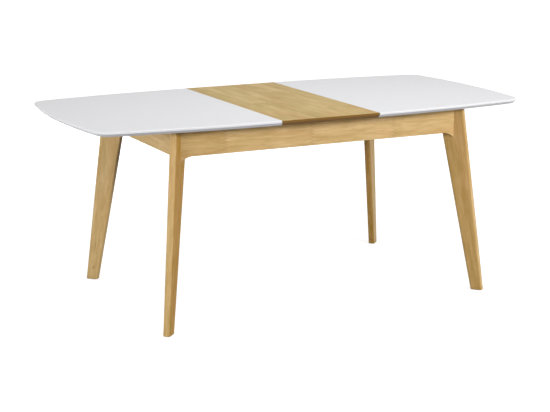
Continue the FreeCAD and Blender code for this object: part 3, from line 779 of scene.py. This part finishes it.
class TABLE_OT_dress_inside(bpy.types.Operator):
    """Gives the slides, cleats, bearer, braces and dowels their bare wood"""
    bl_idname = "table.dress_inside"
    bl_label = "Finish the inside"

    def execute(self, context):
        settings = context.scene.table_wood
        lengthwise = bare_wood("planed_hardwood_slides", settings, X_AXIS, Y_AXIS)
        crosswise = bare_wood("planed_hardwood_bearer", settings, Y_AXIS, Z_AXIS)
        for row in ROWS:
            dress("slide_rail_" + row, lengthwise)
            for side in SIDES:
                dress("runner_" + side + "_" + row, lengthwise)
                dress("rail_cleat_" + row + "_" + side, lengthwise)
        dress("centre_bearer", crosswise)
        dress("bearer_dowels", crosswise)
        dress("leaf_pegs", bare_wood("turned_hardwood_pegs", settings, Z_AXIS, X_AXIS))
        for corner in CORNERS:
            across = Z_AXIS.cross(outwards(corner))
            brace = bare_wood("planed_hardwood_brace_" + corner, settings, across, Z_AXIS)
            dress("corner_brace_" + corner, brace)
        return {"FINISHED"}


class TABLE_OT_dress_metal(bpy.types.Operator):
    """Gives the washers, nuts and stop pins their zinc"""
    bl_idname = "table.dress_metal"
    bl_label = "Finish the washers, nuts and pins"

    def execute(self, context):
        zinc = zinc_material(context.scene.table_metal)
        for name in ("leg_washers", "leg_nuts", "stop_pins"):
            dress(name, zinc)
        return {"FINISHED"}


# Turned metal, made in the place of the frame's plain screws and bolts
def solids(node_name):
    """The corner points of each separate solid in a piece of the frame."""
    piece = NODES[node_name]
    shape = bmesh.new()
    shape.from_mesh(piece.data)
    bmesh.ops.remove_doubles(shape, verts=shape.verts, dist=SAME_POINT)
    shape.verts.index_update()
    seen = set()
    found = []
    for first in shape.verts:
        if first.index in seen:
            continue
        seen.add(first.index)
        reached = [first]
        for vert in reached:
            for edge in vert.link_edges:
                other = edge.other_vert(vert)
                if other.index not in seen:
                    seen.add(other.index)
                    reached.append(other)
        found.append([piece.matrix_world @ vert.co for vert in reached])
    shape.free()
    return found


def along_axis(start, axis):
    """A place with its origin at a point and its Z axis along a direction."""
    turn = axis.to_track_quat("Z", "Y").to_matrix().to_4x4()
    return Matrix.Translation(start) @ turn


def ring(shape, place, along, radius):
    """Points round a place's Z axis, or the one point on it where the radius is nothing."""
    if radius == 0:
        return [shape.verts.new(place @ Vector((0, 0, along)))]
    points = []
    for step in range(RING_SIDES):
        angle = math.tau * step / RING_SIDES
        at = Vector((radius * math.cos(angle), radius * math.sin(angle), along))
        points.append(shape.verts.new(place @ at))
    return points


def join_rings(shape, first, second):
    """Faces from one ring of points to the next, or to its one point."""
    count = max(len(first), len(second))
    for step in range(count):
        after = step + 1
        corners = (
            first[step % len(first)], first[after % len(first)],
            second[after % len(second)], second[step % len(second)],
        )
        shape.faces.new(list(dict.fromkeys(corners)))


def turned(shape, place, outline):
    """A turned surface, ring by ring, from each ring's distance along the axis and radius."""
    rings = [ring(shape, place, along, radius) for along, radius in outline]
    for first, second in zip(rings, rings[1:]):
        join_rings(shape, first, second)
    return rings


def cross(shape, place, along, span, width):
    """The twelve corners of a cross, at a distance along a place's Z axis."""
    points = []
    for quarter in range(4):
        turn = Matrix.Rotation(math.tau * quarter / 4, 3, "Z")
        for x, y in ((span / 2, -width / 2), (span / 2, width / 2), (width / 2, width / 2)):
            points.append(shape.verts.new(place @ (turn @ Vector((x, y, along)))))
    return points


def rim_edges(shape, points):
    """The edges round a ring of points."""
    return [
        shape.edges.get((point, points[(step + 1) % len(points)]))
        for step, point in enumerate(points)
    ]


def add_screw(shape, points, settings):
    """A pan head with a cross recess, on the shank and point of one of the frame's screws.

    Its thread is left out, because the wood hides it from end to end."""
    middle = middle_of(points)
    tip = max(points, key=lambda point: (point - middle).length)
    reach = max((point - tip).length for point in points)
    rim = [point for point in points if (point - tip).length > reach - SAME_DEPTH]
    top = middle_of(rim)
    axis = (tip - top).normalized()
    length = (tip - top).length
    measured = []
    for point in points:
        along = (point - top).dot(axis)
        measured.append((along, (point - top - axis * along).length))
    head_radius = max(radius for along, radius in measured)
    # Points further out than this are on the head's rim, and the others on the shank
    in_head = 0.9 * head_radius
    head_height = max(along for along, radius in measured if radius > in_head)
    shank_radius = max(radius for along, radius in measured if radius < in_head)
    shank_end = max(along for along, radius in measured if radius > shank_radius / 2)

    place = along_axis(top, axis)
    outline = [(head_height * down, head_radius * out) for down, out in HEAD_OUTLINE]
    outline += [(head_height, shank_radius), (shank_end, shank_radius), (length, 0)]
    flat_top = turned(shape, place, outline)[0]
    mouth = cross(shape, place, 0.0, settings.recess_span, settings.recess_width)
    floor_span, floor_width = RECESS_FLOOR
    floor = cross(
        shape, place, settings.recess_depth, settings.recess_span * floor_span,
        settings.recess_width * floor_width
    )
    join_rings(shape, mouth, floor)
    shape.faces.new(floor)
    bmesh.ops.triangle_fill(
        shape, use_beauty=True, edges=rim_edges(shape, flat_top) + rim_edges(shape, mouth)
    )


def add_thread(shape, place, length, radius, settings):
    """A helical thread between two flat ends, into which it runs out.

    It has the whole number of turns nearest to the length asked for, and gives its own."""
    count = THREAD_SIDES
    pitch = settings.thread_pitch
    turns = round(length / pitch + 1)
    last = count * turns
    length = pitch * (turns - 1)

    def point(step, out, turns_before):
        along = min(max(pitch * (step / count - turns_before), 0.0), length)
        angle = math.tau * step / count
        at = Vector((out * math.cos(angle), out * math.sin(angle), along))
        return shape.verts.new(place @ at)

    root_radius = radius - settings.thread_depth
    roots = [point(step, root_radius, 1.0) for step in range(last + count)]
    crests = []
    for step in range(last + 1):
        height = min(1.0, (step + 1) / count, (last - step + 1) / count)
        crests.append(point(step, root_radius + settings.thread_depth * height, 0.5))

    def root(step):
        if step == count:
            return roots[0]
        if step == last + count:
            return roots[last]
        return roots[step]

    for step in range(last):
        shape.faces.new((root(step), root(step + 1), crests[step + 1], crests[step]))
        shape.faces.new((
            crests[step], crests[step + 1], root(step + 1 + count), root(step + count)
        ))
    shape.faces.new([root(step) for step in range(count)])
    shape.faces.new([root(step) for step in range(last, last + count)])
    shape.verts.remove(roots[count])
    return length


def add_bolt(shape, points, settings):
    """A hanger bolt: the M8 thread that carries the nut, and the plain part behind it."""
    middle = middle_of(points)
    row = "back" if middle.y > 0 else "front"
    side = "right" if middle.x > 0 else "left"
    axis = outwards(row + "_" + side)
    depths = [(point - middle).dot(axis) for point in points]
    radius = max(
        (point - middle - axis * depth).length for point, depth in zip(points, depths)
    )
    place = along_axis(middle + axis * min(depths), axis)
    length = max(depths) - min(depths)
    start = add_thread(shape, place, radius * BOLT_THREAD, radius, settings)
    chamfer = radius * BOLT_CHAMFER
    turned(shape, place, (
        (start, 0), (start, radius), (length - chamfer, radius),
        (length, radius - chamfer), (length, 0),
    ))


def make_turned(name, node_name, body, add_one, settings):
    """One object that stands for a node of like fasteners, each made on its own plain solid."""
    shape = bmesh.new()
    for points in solids(node_name):
        add_one(shape, points, settings)
    bmesh.ops.recalc_face_normals(shape, faces=shape.faces)
    for face in shape.faces:
        face.smooth = True
    mesh = bpy.data.meshes.new(name)
    shape.to_mesh(mesh)
    shape.free()
    mesh.set_sharp_from_angle(angle=SHARP_ANGLE)
    mesh.materials.append(zinc_material(settings))
    piece = bpy.data.objects.new(name, mesh)
    bpy.context.scene.collection.objects.link(piece)
    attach(piece, body)
    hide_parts(node_name)


class TABLE_OT_make_screws(bpy.types.Operator):
    """Makes the wood screws, with pan heads and cross recesses"""
    bl_idname = "table.make_screws"
    bl_label = "Make the screws"

    def execute(self, context):
        settings = context.scene.table_metal
        for node_name, body in SCREW_BODIES.items():
            make_turned("pan_head_" + node_name, node_name, body, add_screw, settings)
        return {"FINISHED"}


class TABLE_OT_make_bolts(bpy.types.Operator):
    """Makes the hanger bolts that hold the legs, with the thread for their nuts"""
    bl_idname = "table.make_bolts"
    bl_label = "Make the bolts"

    def execute(self, context):
        make_turned(
            "threaded_leg_bolts", "leg_bolts", "frame", add_bolt, context.scene.table_metal
        )
        return {"FINISHED"}


class TABLE_OT_dress_glides(bpy.types.Operator):
    """Gives the glides under the feet their plastic"""
    bl_idname = "table.dress_glides"
    bl_label = "Finish the glides"

    def execute(self, context):
        plastic = plastic_material(context.scene.table_plastic)
        for corner in CORNERS:
            dress("glide_" + corner, plastic)
        return {"FINISHED"}


# Stage
def seen_directly(tree):
    """One where the camera, a reflection or a view through glass meets the surface."""
    path = add(tree, "ShaderNodeLightPath")
    mirrored = add(tree, "ShaderNodeMath", {
        0: path.outputs["Is Camera Ray"], 1: path.outputs["Is Glossy Ray"],
    }, operation="MAXIMUM")
    return add(tree, "ShaderNodeMath", {
        0: mirrored.outputs[0], 1: path.outputs["Is Transmission Ray"],
    }, operation="MAXIMUM").outputs[0]


def floor_material(settings):
    """A plain matt floor, painted pale grey.

    Seen directly it glows, so that it reads as white where no shadow falls on it, and more so
    further out, where it meets the white surroundings. Its underside is left open, so that the
    table can be looked at from below."""
    material, tree, shader = new_material("plain_painted_floor")
    seen = seen_directly(tree)
    bounce = [channel * settings.floor_bounce for channel in settings.floor_colour]
    paint = blended(tree, seen, opaque(bounce), opaque(settings.floor_colour))
    place = add(tree, "ShaderNodeTexCoord")
    distance = add(tree, "ShaderNodeVectorMath", {0: place.outputs["Object"]}, operation="LENGTH")
    glow = add(tree, "ShaderNodeMapRange", {
        "Value": distance.outputs["Value"], "From Min": GLOW_START, "From Max": GLOW_FULL,
        "To Min": settings.floor_glow, "To Max": 1.0,
    }, interpolation_type="SMOOTHSTEP")
    strength = add(tree, "ShaderNodeMath", {
        0: seen, 1: glow.outputs["Result"],
    }, operation="MULTIPLY")
    tree.links.new(paint, shader.inputs["Base Color"])
    tree.links.new(strength.outputs[0], shader.inputs["Emission Strength"])
    shader.inputs["Emission Color"].default_value = (1, 1, 1, 1)
    shader.inputs["Roughness"].default_value = 1.0
    shader.inputs["Specular IOR Level"].default_value = 0.0
    side = add(tree, "ShaderNodeNewGeometry")
    opening = add(tree, "ShaderNodeBsdfTransparent")
    upper_only = add(tree, "ShaderNodeMixShader", {
        0: side.outputs["Backfacing"], 1: shader.outputs["BSDF"], 2: opening.outputs["BSDF"],
    })
    output = tree.nodes["Material Output"]
    tree.links.new(upper_only.outputs["Shader"], output.inputs["Surface"])
    return material


def white_world(strength):
    """Even light from all round, and plain white where the camera or a reflection sees it."""
    world = bpy.data.worlds.new("white_surroundings")
    world.use_nodes = True
    tree = world.node_tree
    tree.nodes.clear()
    level = ranged(tree, seen_directly(tree), 0.0, 1.0, strength, 1.0)
    sky = add(tree, "ShaderNodeBackground", {"Color": (1, 1, 1, 1), "Strength": level})
    add(tree, "ShaderNodeOutputWorld", {"Surface": sky.outputs["Background"]})
    return world


def lamp(name, place, target, size, power):
    """A large soft lamp that points at a target.

    It isn't seen in reflections, so the top shows the white surroundings in its sheen from
    every side, and never the lamp's own glare."""
    light = bpy.data.lights.new(name, "AREA")
    light.shape = "RECTANGLE"
    light.size, light.size_y = size
    light.energy = power
    holder = bpy.data.objects.new(name, light)
    holder.location = place
    holder.visible_camera = False
    holder.visible_glossy = False
    holder.rotation_mode = "QUATERNION"
    holder.rotation_quaternion = (Vector(target) - Vector(place)).to_track_quat("-Z", "Y")
    bpy.context.scene.collection.objects.link(holder)


class TABLE_OT_set_stage(bpy.types.Operator):
    """Makes the floor, the surroundings, the lamps and the camera"""
    bl_idname = "table.set_stage"
    bl_label = "Set the stage"

    def execute(self, context):
        scene = context.scene
        settings = scene.table_stage
        mesh = bpy.data.meshes.new("floor")
        corners = [
            (-FLOOR_HALF, -FLOOR_HALF, 0), (FLOOR_HALF, -FLOOR_HALF, 0),
            (FLOOR_HALF, FLOOR_HALF, 0), (-FLOOR_HALF, FLOOR_HALF, 0),
        ]
        mesh.from_pydata(corners, [], [(0, 1, 2, 3)])
        floor = bpy.data.objects.new("floor", mesh)
        mesh.materials.append(floor_material(settings))
        scene.collection.objects.link(floor)

        scene.world = white_world(settings.sky_strength)
        target = Vector((0, 0, cad_high.z * AIM_HEIGHT))
        for name, (place, size) in LAMPS.items():
            lamp(name, place, target, size, getattr(settings, name))

        camera = bpy.data.objects.new("camera", bpy.data.cameras.new("camera"))
        camera.data.sensor_width = 36.0
        camera.data.lens = settings.focal_length
        camera.location = settings.camera_place
        heading = Matrix.Rotation(-settings.camera_heading, 3, "Z")
        tilt = Matrix.Rotation(math.pi / 2 - settings.camera_tilt, 3, "X")
        roll = Matrix.Rotation(-settings.camera_roll, 3, "Z")
        camera.rotation_euler = (heading @ tilt @ roll).to_euler()
        scene.collection.objects.link(camera)
        scene.camera = camera
        scene.view_settings.view_transform = "Standard"
        return {"FINISHED"}


class TABLE_PT_panel(bpy.types.Panel):
    """The table's pieces, with the sizes and colours that they are made from, in the sidebar"""
    bl_idname = "TABLE_PT_panel"
    bl_label = "Extending dining table"
    bl_space_type = "VIEW_3D"
    bl_region_type = "UI"
    bl_category = "Table"

    def draw(self, context):
        for operator in OPERATORS:
            self.layout.operator(operator.bl_idname)
        for name, group in GROUPS.items():
            box = self.layout.box()
            for setting in group.__annotations__:
                box.prop(getattr(context.scene, name), setting)


GROUPS = {
    "table_lacquer": TABLE_PG_lacquer,
    "table_wood": TABLE_PG_wood,
    "table_metal": TABLE_PG_metal,
    "table_plastic": TABLE_PG_plastic,
    "table_stage": TABLE_PG_stage,
}
OPERATORS = (
    TABLE_OT_dress_tops,
    TABLE_OT_dress_leaf,
    TABLE_OT_dress_legs,
    TABLE_OT_dress_aprons,
    TABLE_OT_dress_inside,
    TABLE_OT_dress_metal,
    TABLE_OT_make_screws,
    TABLE_OT_make_bolts,
    TABLE_OT_dress_glides,
    TABLE_OT_set_stage,
)


def register():
    for group in GROUPS.values():
        bpy.utils.register_class(group)
    for operator in OPERATORS:
        bpy.utils.register_class(operator)
    bpy.utils.register_class(TABLE_PT_panel)
    for name, group in GROUPS.items():
        setattr(bpy.types.Scene, name, PointerProperty(type=group))


def unregister():
    for name in GROUPS:
        delattr(bpy.types.Scene, name)
    bpy.utils.unregister_class(TABLE_PT_panel)
    for operator in OPERATORS:
        bpy.utils.unregister_class(operator)
    for group in GROUPS.values():
        bpy.utils.unregister_class(group)


def main():
    register()
    bpy.ops.table.dress_tops()
    bpy.ops.table.dress_leaf()
    bpy.ops.table.dress_legs()
    bpy.ops.table.dress_aprons()
    bpy.ops.table.dress_inside()
    bpy.ops.table.dress_metal()
    bpy.ops.table.make_screws()
    bpy.ops.table.make_bolts()
    bpy.ops.table.dress_glides()
    bpy.ops.table.set_stage()


if __name__ == "__main__":
    main()
